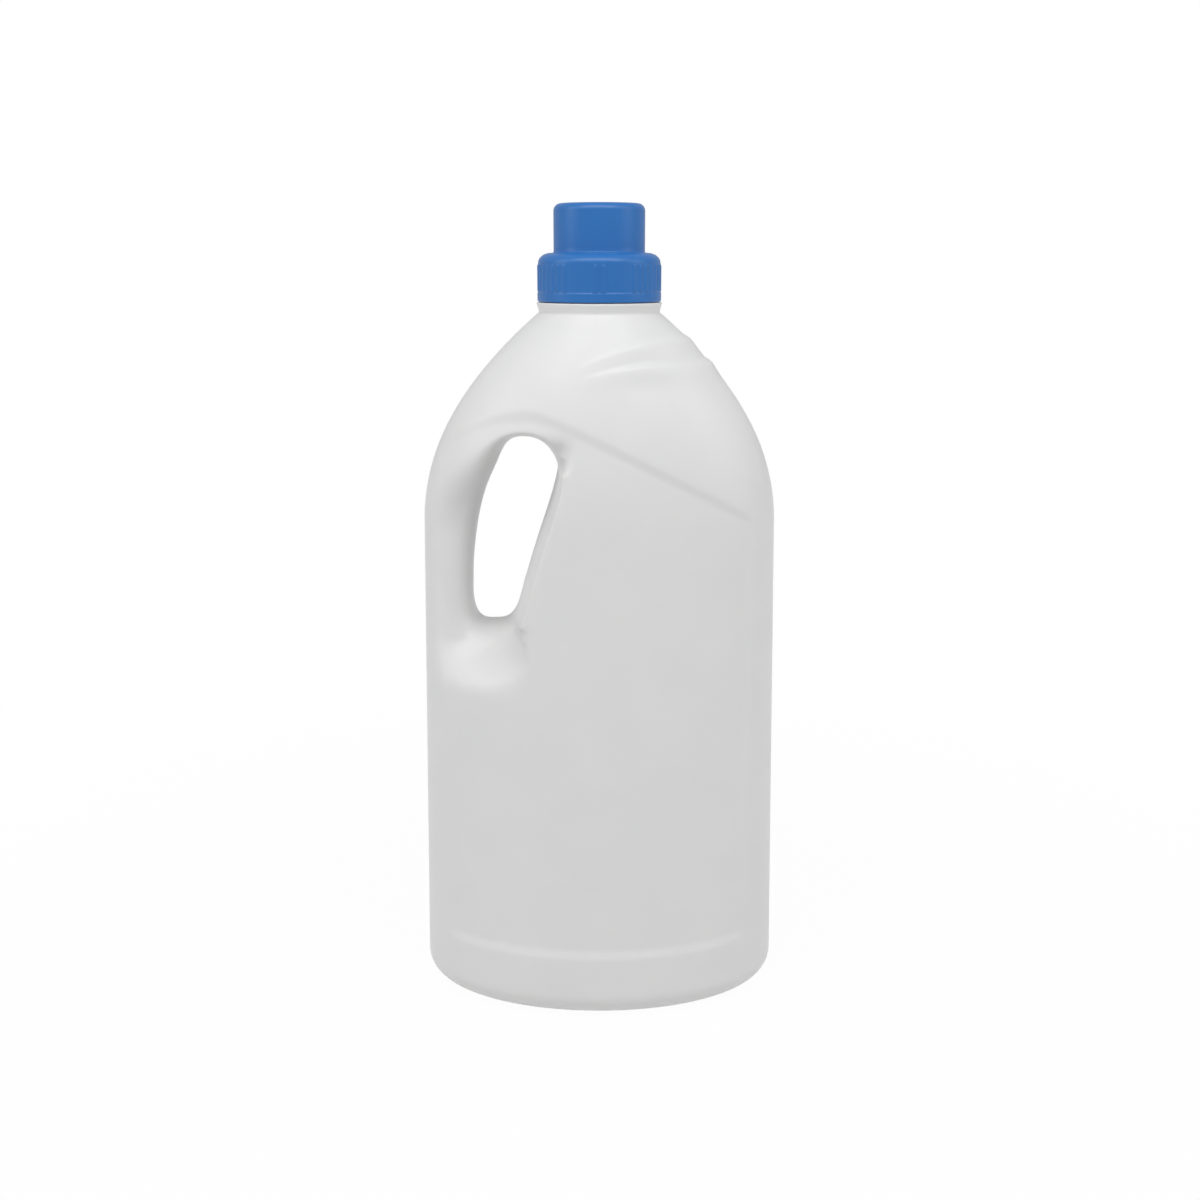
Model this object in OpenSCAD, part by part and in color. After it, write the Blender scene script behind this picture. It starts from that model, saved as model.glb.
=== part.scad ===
/* [Body] */
// Height of the body, from the foot to the collar
body_h = 252; // [245:1:262]
// Width of the body at its foot
body_w = 132.6; // [124:0.2:140]
// Width of the body where the shoulder starts
chest_w = 127.4; // [122:0.2:130]
// Depth of the body at its foot, front to back
body_d = 86; // [80:0.5:92]
// Depth of the body where the shoulder starts
chest_d = 82.6; // [78:0.2:88]
// Height of the shoulder, from its start to the collar
shoulder_h = 75; // [68:1:80]
// Radius of the rounded foot edge
foot_r = 10; // [8:0.5:12]
// Width of the ring that the bottle stands on
stand_w = 3.5; // [2.5:0.5:4.5]
// Height of the push-up in the base
push_up = 3.5; // [2.5:0.1:4.5]
// Thickness of the blown wall
wall = 1.2; // [1:0.05:1.4]

/* [Label panel] */
// How far the label panel lies below the surface round it
panel_in = 1; // [0.4:0.1:1.3]
// Height of the panel's lower edge
panel_foot = 23.7; // [18:0.1:30]
// Distance of the panel's right edge from the middle
panel_right = 55.6; // [50:0.1:57]
// Distance of the panel's left edge from the middle
panel_left = 58; // [50:0.1:60]

/* [Shoulder lines] */
// Height of the crease between shoulder and panel at its top
crease_top = 221.5; // [218:0.5:224]
// Distance of that top from the middle, towards the handle
crease_x = 24; // [20:1:28]
// Height of the two ledges that sweep over the right shoulder
ledge_h = 1.2; // [0.6:0.1:1.6]
// Height of the upper ledge where it meets the right side
upper_ledge = 245.5; // [243:0.1:246]
// Height of the lower ledge where it meets the right side
lower_ledge = 237.3; // [235:0.1:239]

/* [Handle] */
// Height of the lowest point of the finger hole
hole_foot = 139.8; // [137:0.1:143]
// Height of the finger hole
hole_h = 70.7; // [66:0.1:71.5]
// Width of the finger hole near its top
hole_w = 28; // [24:0.1:28.6]
// Width of the finger hole near its foot
hole_foot_w = 20; // [16:0.1:21]
// Distance of the hole's top from the middle of the bottle
hole_top_x = 25.7; // [24:0.1:27]
// Distance of the hole's foot from the middle of the bottle
hole_foot_x = 38.9; // [38:0.1:40]
// Depth of the grip, front to back
grip_d = 28; // [22:0.5:32]
// Width over which the body rounds into the finger hole
hole_lip = 2.8; // [2:0.1:4]

/* [Neck] */
// Diameter of the collar under the cap
collar_d = 44.2; // [43.8:0.1:45]
// Height of the collar
collar_h = 4; // [2:0.1:5]
// Outside diameter of the neck
neck_d = 37.4; // [36.8:0.1:37.6]
// Diameter of the mouth
mouth_d = 34.6; // [33:0.1:35]
// Height of the neck above the collar
neck_h = 12.2; // [11.6:0.1:14]
// Rise of the thread in one turn
pitch = 4; // [3.8:0.1:4.4]
// How far the thread stands out from the neck
thread_out = 1.2; // [0.9:0.05:1.3]
// Turns of thread on the neck
neck_turns = 1.75; // [1.5:0.05:1.8]
// Height of the thread's start above the collar
thread_start = 3; // [2.9:0.1:3.1]

/* [Cap] */
// Diameter of the cap over its grip ribs
cap_d = 43.6; // [43.4:0.1:46]
// Height of the wide part, up to the rounded step
skirt_h = 13.1; // [12.8:0.1:15]
// Height of the rounded step
step_h = 3.5; // [3:0.1:5]
// Diameter of the narrow upper part
crown_d = 32; // [31:0.1:35]
// Height of the narrow upper part
crown_h = 16.7; // [15.5:0.1:20]
// Radius of the cap's top edge
crown_r = 2.6; // [1.5:0.1:3]
// Thickness of the cap's walls
cap_wall = 1.6; // [1.4:0.05:1.8]
// Height of the plain band under the ribs
band_h = 3; // [2.4:0.1:5]
// How far the ribs stand out
rib_out = 0.3; // [0.2:0.05:0.5]
// Number of places for ribs round the cap
rib_places = 48; // [36:4:60]
// Turns of thread inside the cap
cap_turns = 1.25; // [1:0.05:1.3]

/* [Pouring spout and seal] */
// Outside diameter of the pouring lip
lip_d = 23; // [20:0.5:25]
// Height of the lip above the neck's rim
lip_h = 14; // [10:0.5:15]
// Depth of the drain gutter below the neck's rim
gutter = 10; // [8:0.5:11]
// Thickness of the spout's walls
spout_wall = 1.1; // [0.9:0.05:1.3]
// Slant of the lip's cut
lip_slant = 24; // [0:1:30]
// Thickness of the sealing ring in the cap
seal_t = 1; // [0.8:0.1:1.4]

/* [Clearances] */
// Gap between the cap and the collar when the cap is shut
cap_gap = 0.3; // [0.2:0.05:0.5]
// Gap between the cap's thread and the neck
thread_gap = 0.3; // [0.25:0.05:0.35]
// Gap between the spout's plug and the mouth
plug_gap = 0.1; // [0.05:0.01:0.15]
// Gap between the sealing ring and what lies round it
seal_gap = 0.3; // [0.2:0.05:0.5]

/* [Hidden] */

// The neck and what stands on it
neck_foot = body_h + collar_h;
rim_z = neck_foot + neck_h;
flange_t = 1.2;
flange_top = rim_z + flange_t;
plate_z = flange_top + seal_t;
cap_foot = neck_foot + cap_gap;
skirt_top = cap_foot + skirt_h;
step_top = skirt_top + step_h;
cap_top = step_top + crown_h;
skirt_r = cap_d / 2 - rib_out;
thread_r = neck_d / 2 + thread_out;
cap_bore_r = thread_r + thread_gap;
cap_thread_r = neck_d / 2 + thread_gap;
crown_bore_r = crown_d / 2 - cap_wall;

// The mesh of the blown body: rows run round it from the base to the collar,
// columns run across its front from the left side to the right
COLS = 30;
RING = 2 * COLS;
HOLE_A = 8;
HOLE_B = 12;
// Steps along the foot's rounding, and each later stretch of rows as shares of its height
FOOT_ROWS = 8;
RAMP_SHARES = [0.18, 0.36, 0.52, 0.68, 0.82, 0.93, 1];
LOWER_SHARES = [0.25, 0.5, 0.75, 1];
HOLE_ROWS = 12;
ABOVE_SHARES = [0.3, 0.65, 1];
CHEEK_SHARES = [0.2, 0.4, 0.6, 0.8, 1];
BETWEEN_SHARES = [0.5, 1];
TOP_SHARES = [0.35, 0.7, 1];

FOOT_ROW = FOOT_ROWS - 1;
PANEL_ROW = FOOT_ROW + 2;
RAMP_ROW = PANEL_ROW + len(LOWER_SHARES);
HOLE_1 = RAMP_ROW + len(RAMP_SHARES);
HOLE_2 = HOLE_1 + HOLE_ROWS;
CREASE_ROW = HOLE_2 + len(ABOVE_SHARES) + 1;
LOWER_ROW = CREASE_ROW + len(CHEEK_SHARES) + 1;
UPPER_ROW = LOWER_ROW + len(BETWEEN_SHARES) + 1;
LAST_ROW = UPPER_ROW + len(TOP_SHARES);

// Shape constants of the moulded forms: widths, and radii of bends, in millimetres
SHOULDER_POW = 2.08;
COLLAR_STEP = 0.3;
EDGE_W = 4;
PANEL_FADE = 10;
CREASE_W = 5;
CREASE_SOFT = 6;
CREASE_SLOPE = 0.42;
CREASE_BEND_L = 84.7;
CREASE_BEND_R = 900;
POCKET_W = 11;
LEDGE_W = 2.4;
LEDGE_FADE = 9;
LEDGE_END = -12;
LEDGE_GROW = 32;
UPPER_END = 26;
UPPER_BEND = 118;
LOWER_END = 22;
LOWER_BEND = 192;
HOLE_BOW = 8.5;
HOLE_BEND = 0.845;
BEND_SOFT = 0.06;
HOLE_CORNER = 6.1;
FOOT_SHARE = 0.22;
TAPER_SHARE = 0.65;
TOP_POW = 2.4;
FOOT_POW = 3.3;
GRIP_BLEND = 7;
GRIP_CREST = 3;
GRIP_POW = 0.32;
GRIP_OPEN = 60;
GRIP_GROW = 32;
ZONE_LEAN = 0.15;
ZONE_SOFT = 0.6;
RAMP_SOFT = 1.4;
RAMP_TOP = 2;
RAMP_H = 18;
RAMP_DROP = 50;
HOLE_ROW_SHARE = 0.752;
LIP_STEP = 0.4;
PULL_COLS = 8;

function lerp(a, b, t) = a + (b - a) * t;
function clamp(v, lo, hi) = max(lo, min(hi, v));
function ease(t) = let (c = clamp(t, 0, 1)) c * c * (3 - 2 * c);
function soft_min(a, b, r) =
    let (h = clamp(0.5 + 0.5 * (b - a) / r, 0, 1)) lerp(b, a, h) - r * h * (1 - h);

// Half the width and half the depth of the plain body at height z
neck_seat_r = collar_d / 2 - COLLAR_STEP;
chest_z = body_h - shoulder_h;
function rise(z) = pow(max(0, (z - chest_z) / shoulder_h), SHOULDER_POW);
function trunk(z, foot, chest) = lerp(foot, chest, clamp((z - foot_r) / (chest_z - foot_r), 0, 1));
function half_w(z) =
    lerp(trunk(z, body_w, chest_w) / 2, neck_seat_r, rise(z));
function half_d(z) =
    lerp(trunk(z, body_d, chest_d) / 2, neck_seat_r, rise(z));
function side_slope(z) = (half_w(z + 0.5) - half_w(z - 0.5));

// Height of the crease that runs from the handle down over the front
function crease_z(x) =
    let (dx = x + crease_x)
    dx < 0
        ? crease_top - dx * dx / CREASE_BEND_L
        : crease_top - CREASE_SLOPE * (norm([dx, CREASE_SOFT]) - CREASE_SOFT) - dx * dx / CREASE_BEND_R;

// Heights of the two ledges, which fade out towards the handle
function ledge_z(x, height, end, bend) = height - pow(end - clamp(x, LEDGE_END, end), 2) / bend;
function upper_z(x) = ledge_z(x, upper_ledge, UPPER_END, UPPER_BEND);
function lower_z(x) = ledge_z(x, lower_ledge, LOWER_END, LOWER_BEND);
function upper_foot(x) = max(upper_z(x) - LEDGE_W, (lower_z(x) + upper_z(x)) / 2);
function one_ledge(drop) = ease(drop / LEDGE_W) * (1 - ease(drop / LEDGE_FADE));
function ledges(x, z) =
    ledge_h * ease((x - LEDGE_END) / LEDGE_GROW) * max(one_ledge(upper_z(x) - z), one_ledge(lower_z(x) - z));

// Finger hole: a leaning, tapered slot with round ends
hole_mid = hole_foot + hole_h / 2;
hole_low = hole_foot + HOLE_CORNER;
function hole_share(z) = (z - hole_foot) / hole_h;
function hole_x(z) =
    let (t = soft_min(max(0, hole_share(z)) / HOLE_BEND, 1, BEND_SOFT))
    lerp(-hole_foot_x, -hole_top_x, t) - HOLE_BOW * t * (1 - t);
function hole_taper(z) =
    lerp(hole_foot_w, hole_w, clamp((hole_share(z) - FOOT_SHARE) / TAPER_SHARE, 0, 1)) / 2;
function end_pow(z) = z > hole_mid ? TOP_POW : FOOT_POW;
function round_end(s, p) = pow(max(0, 1 - pow(abs(s), p)), 1 / p);
function hole_half(z) = hole_taper(z) * round_end(2 * hole_share(z) - 1, end_pow(z));

// Corners of the hole's mesh, as shares of its half height
TOP_CORNER = 0.88;
FOOT_CORNER = 0.93;
top_corner_z = hole_mid + TOP_CORNER * hole_h / 2;
foot_corner_z = hole_mid - FOOT_CORNER * hole_h / 2;

// How far a point lies from the hole: 1 on its edge, more outside it
function hole_reach(x, z) =
    let (p = end_pow(z))
    pow(pow(abs(x - hole_x(z)) / hole_taper(z), p) + pow(abs(z - hole_mid) * 2 / hole_h, p), 1 / p);
// Direction away from the hole's edge, as long as the reach grows in a millimetre
function hole_away(x, z) =
    let (p = end_pow(z), r = pow(hole_reach(x, z), 1 - p), dx = x - hole_x(z), dz = z - hole_mid)
    [
        sign(dx) * pow(abs(dx) / hole_taper(z), p - 1) * r / hole_taper(z),
        sign(dz) * pow(abs(dz) * 2 / hole_h, p - 1) * r * 2 / hole_h
    ];
function hole_gap(x, z) = max(0, hole_reach(x, z) - 1) / norm(hole_away(x, z));

// Half the depth of the pressed-in grip, which opens out above the middle of the hole
grip_w = half_w(hole_mid) - abs(hole_x(hole_mid)) - hole_taper(hole_mid);
function grip_half(x, z) =
    let (
        gap = hole_gap(x, z),
        side = max(0, x + half_w(z)) / norm([1, side_slope(z)]),
        crest = (grip_d + GRIP_CREST) / 2,
        up = max(0, z - hole_mid),
        swell = pow(4 * gap * side / pow(grip_w, 2), GRIP_POW)
    )
    soft_min(crest * swell * (1 + pow(up / GRIP_GROW, 2)), crest + up * up / GRIP_OPEN, GRIP_CREST);

// Right edge of the pressed-in zone, which softens above and below the hole
hole_high = hole_foot + HOLE_BEND * hole_h;
function zone_edge(z) =
    let (held = clamp(z, hole_low, hole_high))
    hole_x(held) + hole_half(held) - ZONE_LEAN * max(0, hole_low - z);
// Share of the plain body at a point: none in the zone, all of it to the right of the
// zone, above it and under its ramp
function outside_zone(x, z) =
    let (
        start = zone_edge(z) - RAMP_SOFT * max(0, hole_foot - z),
        stop = zone_edge(z) + hole_lip + ZONE_SOFT * max(0, z - hole_high),
        beside = ease((x - start) / (stop - start)),
        above = ease(1 + (z - crease_z(x)) / POCKET_W),
        under = ease((hole_foot - RAMP_TOP - z) / RAMP_H)
    )
    1 - (1 - beside) * (1 - above) * (1 - under);

// Share of the label panel's depth at a point
function panel_share(x, z) =
    ease((z - panel_foot) / EDGE_W) * ease((crease_z(x) - z) / CREASE_W)
    * ease((panel_right - x) / CREASE_W) * ease((x + panel_left) / CREASE_W);

// Half the depth of the whole body at a point of its front view
function plain_half(x, z) = half_d(z) * sqrt(max(0, 1 - pow(x / half_w(z), 2)));
function body_half(x, z) =
    let (
        full = plain_half(x, z),
        plain = full - panel_in * panel_share(x, z) * ease(full / PANEL_FADE),
        blend = min(GRIP_BLEND, 0.01 + plain / 2)
    )
    lerp(soft_min(grip_half(x, z), plain, blend), plain, outside_zone(x, z));

// Height of a row of the mesh over the place x
function span(row, first, shares) = row <= first ? 0 : shares[row - first - 1];
function hole_row_z(x) = lerp(hole_low, crease_z(x), HOLE_ROW_SHARE);
function row_z(row, x) =
    row <= FOOT_ROW ? foot_r
    : row == PANEL_ROW - 1 ? panel_foot
    : row == PANEL_ROW ? panel_foot + EDGE_W
    : row <= RAMP_ROW ? lerp(panel_foot + EDGE_W, hole_low - RAMP_DROP, span(row, PANEL_ROW, LOWER_SHARES))
    : row <= HOLE_1 ? lerp(hole_low - RAMP_DROP, hole_low, span(row, RAMP_ROW, RAMP_SHARES))
    : row <= HOLE_2 ? lerp(hole_low, hole_row_z(x), (row - HOLE_1) / HOLE_ROWS)
    : row < CREASE_ROW ? lerp(hole_row_z(x), crease_z(x) - CREASE_W, span(row, HOLE_2, ABOVE_SHARES))
    : row == CREASE_ROW ? crease_z(x)
    : row < LOWER_ROW ? lerp(crease_z(x), lower_z(x) - LEDGE_W, span(row, CREASE_ROW, CHEEK_SHARES))
    : row == LOWER_ROW ? lower_z(x)
    : row < UPPER_ROW ? lerp(lower_z(x), upper_foot(x), span(row, LOWER_ROW, BETWEEN_SHARES))
    : row == UPPER_ROW ? upper_z(x)
    : lerp(upper_z(x), body_h, span(row, UPPER_ROW, TOP_SHARES));

// Place [x, z] of a mesh point on the plain body, before the hole pulls at it
function across(col) = sin(180 * col / COLS - 90);
function plain_place(row, col) =
    let (
        z0 = row_z(row, across(col) * chest_w / 2),
        z = row_z(row, across(col) * half_w(z0))
    )
    [across(col) * half_w(z), z];

// Place of the same point in a row that the hole splits into grip and body
function left_of_hole(z, col) =
    lerp(-half_w(z), hole_x(z) - hole_half(z), (1 - cos(180 * col / HOLE_A)) / 2);
function right_of_hole(z, col) =
    let (
        k = col - HOLE_B,
        edge = hole_x(z) + hole_half(z),
        start = asin((edge + hole_lip) / half_w(z))
    )
    k == 0 ? edge
    : k == 1 ? edge + LIP_STEP * hole_lip
    : half_w(z) * sin(lerp(start, 90, (k - 2) / (COLS - HOLE_B - 2)));
function round_place(row, col) =
    let (
        top = row == HOLE_2,
        corner = top ? TOP_CORNER : FOOT_CORNER,
        p = top ? TOP_POW : FOOT_POW,
        s = lerp(-1, 1, (col - HOLE_A) / (HOLE_B - HOLE_A)) * round_end(corner, p),
        z = hole_mid + (top ? 1 : -1) * round_end(s, p) * hole_h / 2
    )
    [hole_x(z) + s * hole_taper(z), z];
function pulled_z(row, col) =
    let (
        t = (row - HOLE_1) / HOLE_ROWS,
        near = col <= HOLE_A ? col / HOLE_A : ease(1 - (col - HOLE_B) / PULL_COLS),
        plain = plain_place(row, col)[1]
    )
    lerp(plain, lerp(foot_corner_z, top_corner_z, t), near);
function split_place(row, col) =
    col > HOLE_A && col < HOLE_B
        ? round_place(row, col)
        : let (z = pulled_z(row, col))
            [col <= HOLE_A ? left_of_hole(z, col) : right_of_hole(z, col), z];
function place(row, col) =
    let (
        held = clamp(row, HOLE_1, HOLE_2),
        pull = row < HOLE_1
            ? ease(1 - (HOLE_1 - row) / (HOLE_1 - RAMP_ROW))
            : ease(1 - (row - HOLE_2) / (CREASE_ROW - HOLE_2))
    )
    pull == 0 ? plain_place(row, col)
    : plain_place(row, col) + pull * (split_place(held, col) - plain_place(held, col));

// True where a mesh point lies on the parting plane
function on_hole(row, col) =
    row >= HOLE_1 && row <= HOLE_2 && col >= HOLE_A && col <= HOLE_B;
function on_parting(row, col) = col == 0 || col == COLS || on_hole(row, col);

// Inset and height of the rows that make the base and the rounded foot
STAND_ROW = 4;
function foot_angle(row) = 90 * (row - STAND_ROW) / (FOOT_ROW - STAND_ROW);
BASE_INSETS = [14, 10, stand_w + 2, stand_w];
PUSH_SHARES = [1, 0.85, 0.2, 0];
function base_inset(row, inset) =
    row >= STAND_ROW
        ? foot_r - (foot_r - inset) * sin(foot_angle(row))
        : foot_r + BASE_INSETS[row];
function base_z(row, inset) =
    row >= STAND_ROW
        ? foot_r - (foot_r - inset) * cos(foot_angle(row))
        : push_up * PUSH_SHARES[row] + inset;

// One point of the shell's outside, k steps round the ring that starts at the left side
function base_point(row, col, inset) =
    let (s = base_inset(row, inset))
    [
        across(col) * (body_w / 2 - s),
        -sqrt(max(0, 1 - pow(across(col), 2))) * (body_d / 2 - s),
        base_z(row, inset)
    ];
function wall_point(row, col, grow) =
    let (
        p = place(row, col),
        u = p[0] / half_w(p[1]),
        out = grow * ledges(p[0], p[1])
    )
    [
        p[0] + out * u,
        on_parting(row, col) ? 0 : -body_half(p[0], p[1]) - out * sqrt(max(0, 1 - u * u)),
        p[1]
    ];
function front_point(row, col, grow) =
    row < FOOT_ROW ? base_point(row, col, 0) : wall_point(row, col, grow);
function mirrored(p) = [p[0], -p[1], p[2]];
function front_col(k) = k > COLS ? RING - k : k;
function ring_point(row, k, grow) =
    let (p = front_point(row, front_col(k), grow)) k > COLS ? mirrored(p) : p;

// The inside lies one wall's thickness in, square to the outside
function square_out(row, k) =
    let (
        along = ring_point(row, (k + 1) % RING, 0) - ring_point(row, (k + RING - 1) % RING, 0),
        up = ring_point(row + 1, k, 0) - ring_point(row - 1, k, 0),
        n = cross(along, up)
    )
    n / norm(n);
function from_hole(p) =
    let (away = hole_away(p[0], p[2]))
    [away[0], 0, away[1]] / norm(away);
function inner_point(row, k) =
    row < FOOT_ROW
        ? let (p = base_point(row, front_col(k), wall)) k > COLS ? mirrored(p) : p
        : let (p = ring_point(row, k, 0))
            on_hole(row, front_col(k)) ? p + wall * from_hole(p) : p - wall * square_out(row, k);

// Ring of a skin: the listed front columns, then the same ones back round the rear
function ring_of(cols) = concat(
    cols,
    [for (n = [len(cols) - 2:-1:1]) RING - cols[n]]
);
// Place of a point in its skin's list; on the hole's edge front and rear share one point
function skin_id(rows, ring, i, n) =
    let (
        m = n % len(ring),
        shared = ring[m] > COLS && on_hole(rows[i], front_col(ring[m]))
    )
    i * len(ring) + (shared ? len(ring) - m : m);
function in_hole(row, k, next) =
    let (c = (front_col(k) + front_col(next)) / 2)
    row >= HOLE_1 && row < HOLE_2 && c > HOLE_A && c < HOLE_B;
function flipped(faces) = [for (f = faces) [for (n = [len(f) - 1:-1:0]) f[n]]];
function skin_faces(rows, ring, base) =
    [
        for (i = [0:len(rows) - 2])
            for (n = [0:len(ring) - 1])
                if (!in_hole(rows[i], ring[n], n == len(ring) - 1 ? RING : ring[n + 1]))
                    let (
                        a = base + skin_id(rows, ring, i, n),
                        b = base + skin_id(rows, ring, i, n + 1),
                        c = base + skin_id(rows, ring, i + 1, n + 1),
                        d = base + skin_id(rows, ring, i + 1, n)
                    )
                    each [[a, c, b], [a, d, c]]
    ];

module blown_shell() {
    rows = [for (row = [0:LAST_ROW]) row];
    ring = ring_of([for (col = [0:COLS]) col]);
    in_rows = concat(
        [0, 2, 4, 5, 6, FOOT_ROW, PANEL_ROW, PANEL_ROW + 2, RAMP_ROW],
        [for (row = [RAMP_ROW + 1:CREASE_ROW]) row],
        [CREASE_ROW + 2, CREASE_ROW + 4, LOWER_ROW, UPPER_ROW]
    );
    in_ring = ring_of(concat([for (col = [0:HOLE_B + 3]) col], [for (col = [HOLE_B + 4:2:COLS]) col]));
    count = len(rows) * len(ring);
    in_count = len(in_rows) * len(in_ring);
    top = count - len(ring);
    in_top = count + in_count - len(in_ring);
    lip = count + in_count;
    lip_r = mouth_d / 2 + COLLAR_STEP;
    points = concat(
        [for (row = rows) for (k = ring) ring_point(row, k, 1)],
        [for (row = in_rows) for (k = in_ring) inner_point(row, k)],
        [for (k = in_ring) [-lip_r * cos(360 * k / RING), -lip_r * sin(360 * k / RING), body_h]]
    );
    faces = concat(
        skin_faces(rows, ring, 0),
        flipped(skin_faces(in_rows, in_ring, count)),
        [[for (k = [0:len(ring) - 1]) k]],
        [[for (n = [len(in_ring) - 1:-1:0]) count + n]],
        [
            for (n = [0:len(in_ring) - 1])
                let (m = (n + 1) % len(in_ring))
                each [[in_top + n, in_top + m, lip + m], [in_top + n, lip + m, lip + n]]
        ],
        [
            for (n = [0:len(in_ring) - 1])
                let (
                    m = (n + 1) % len(in_ring),
                    last = m == 0 ? RING : in_ring[m]
                )
                each concat(
                    [for (k = [in_ring[n]:last - 1]) [lip + n, top + (k + 1) % RING, top + k]],
                    [[lip + n, lip + m, top + last % RING]]
                )
        ]
    );
    polyhedron(points, faces, convexity = 8);
}

// One thread: a ridge that climbs round the axis and fades in and out at its ends
THREAD_STEPS = 30;
module thread(root_r, tip_r, widths, turns, foot_z) {
    steps = round(turns * THREAD_STEPS);
    function fade(n) = ease(min(n, steps - n) / (THREAD_STEPS / 8));
    function section(n) =
        let (
            angle = 360 * n / THREAD_STEPS,
            tip = lerp(root_r + (tip_r > root_r ? 0.3 : -0.3), tip_r, fade(n)),
            z = foot_z + pitch * n / THREAD_STEPS,
            turn = [cos(angle), sin(angle)]
        )
        [
            [root_r * turn[0], root_r * turn[1], z - widths[0] / 2],
            [tip * turn[0], tip * turn[1], z - widths[1] / 2],
            [tip * turn[0], tip * turn[1], z + widths[1] / 2],
            [root_r * turn[0], root_r * turn[1], z + widths[0] / 2]
        ];
    points = [for (n = [0:steps]) each section(n)];
    sides = [
        for (n = [0:steps - 1])
            for (s = [0:3])
                let (a = 4 * n + s, b = 4 * n + (s + 1) % 4)
                each [[a, b, b + 4], [a, b + 4, a + 4]]
    ];
    ends = [[3, 2, 1, 0], [4 * steps, 4 * steps + 1, 4 * steps + 2, 4 * steps + 3]];
    faces = concat(sides, ends);
    polyhedron(points, tip_r > root_r ? faces : flipped(faces), convexity = 6);
}

// Widths of the two threads at root and tip, and the cap's thread hung under the neck's
THREAD_SINK = 0.4;
NECK_RIDGE = [2.2, 0.9];
CAP_RIDGE = [1.9, 0.7];
thread_foot = neck_foot + thread_start;
function ridge_at(r, root_r, tip_r, widths) = lerp(widths[0], widths[1], (r - root_r) / (tip_r - root_r));
meet_r = (thread_r + cap_thread_r) / 2;
cap_thread_foot = thread_foot - thread_gap
    - ridge_at(meet_r, neck_d / 2 - THREAD_SINK, thread_r, NECK_RIDGE) / 2
    - ridge_at(meet_r, cap_bore_r + THREAD_SINK, cap_thread_r, CAP_RIDGE) / 2;

module neck() {
    difference() {
        union() {
            translate([0, 0, body_h]) cylinder(d = collar_d, h = collar_h, $fn = 96);
            translate([0, 0, body_h]) cylinder(d = neck_d, h = rim_z - body_h, $fn = 96);
        }
        translate([0, 0, body_h - 1]) cylinder(d = mouth_d, h = rim_z - body_h + 2, $fn = 96);
    }
}

module bottle() {
    color("gainsboro")
    union() {
        blown_shell();
        neck();
        thread(neck_d / 2 - THREAD_SINK, thread_r, NECK_RIDGE, neck_turns, thread_foot);
    }
}

// Pouring insert: a flange on the rim, a plug in the mouth, a drain gutter and a cut lip
module pouring_spout() {
    plug_r = mouth_d / 2 - plug_gap;
    lip_r = lip_d / 2;
    gutter_z = rim_z - gutter;
    floor_rise = 1;
    drain_w = 4;
    color("whitesmoke")
    difference() {
        rotate_extrude($fn = 96)
            polygon([
                [lip_r - spout_wall, gutter_z + floor_rise],
                [lip_r, gutter_z + floor_rise],
                [plug_r - spout_wall, gutter_z],
                [plug_r, gutter_z],
                [plug_r, rim_z],
                [neck_d / 2, rim_z],
                [neck_d / 2, flange_top],
                [plug_r - spout_wall, flange_top],
                [plug_r - spout_wall, gutter_z + spout_wall],
                [lip_r, gutter_z + floor_rise + spout_wall],
                [lip_r, rim_z + lip_h],
                [lip_r - spout_wall, rim_z + lip_h]
            ]);
        translate([lip_r, 0, rim_z + lip_h])
            rotate([0, -lip_slant, 0])
                translate([-2 * lip_d, -lip_d, 0])
                    cube([4 * lip_d, 2 * lip_d, 2 * lip_d]);
        translate([-(plug_r - spout_wall + lip_r) / 2, 0, gutter_z - 1])
            cylinder(d = drain_w, h = 2 * (spout_wall + floor_rise) + 1, $fn = 32);
    }
}

module sealing_ring() {
    color("ivory")
    translate([0, 0, flange_top])
        difference() {
            cylinder(r = cap_bore_r - seal_gap, h = seal_t, $fn = 96);
            translate([0, 0, -1]) cylinder(r = crown_bore_r + seal_gap, h = seal_t + 2, $fn = 96);
        }
}

// Outline of the cap's outside, from the foot of the skirt to the middle of its top
ARC = 8;
STEP_SEAT = 0.8;
function cap_outline() = concat(
    [[cap_bore_r, cap_foot], [skirt_r + rib_out, cap_foot], [skirt_r + rib_out, cap_foot + band_h],
     [skirt_r, cap_foot + band_h + rib_out]],
    [
        for (n = [0:ARC])
            let (a = 90 * n / ARC)
            [lerp(crown_d / 2 + STEP_SEAT, skirt_r, cos(a)), skirt_top + step_h * sin(a)]
    ],
    [[crown_d / 2, step_top]],
    [
        for (n = [0:ARC])
            let (a = 90 * n / ARC)
            [crown_d / 2 - crown_r * (1 - cos(a)), cap_top - crown_r * (1 - sin(a))]
    ],
    [[0, cap_top]]
);
RIB_ROOT = 0.8;
RIB_HALF = 0.9;
module grip_rib(angle) {
    rotate([0, 0, angle])
        translate([skirt_r - RIB_ROOT, 0, cap_foot + band_h - RIB_ROOT / 2])
            linear_extrude(skirt_top - cap_foot - band_h)
                polygon([
                    [0, -RIB_HALF],
                    [RIB_ROOT + rib_out, -0.4 * RIB_HALF],
                    [RIB_ROOT + rib_out, 0.4 * RIB_HALF],
                    [0, RIB_HALF]
                ]);
}

// Four smooth windows, two on the front and two on the back, break the ring of ribs
WINDOWS = [-20, 20];
WINDOW_HALF = 13;
function in_window(angle) =
    len([for (w = WINDOWS) for (side = [90, 270]) if (abs(angle - side - w) < WINDOW_HALF) 1]) > 0;

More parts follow.
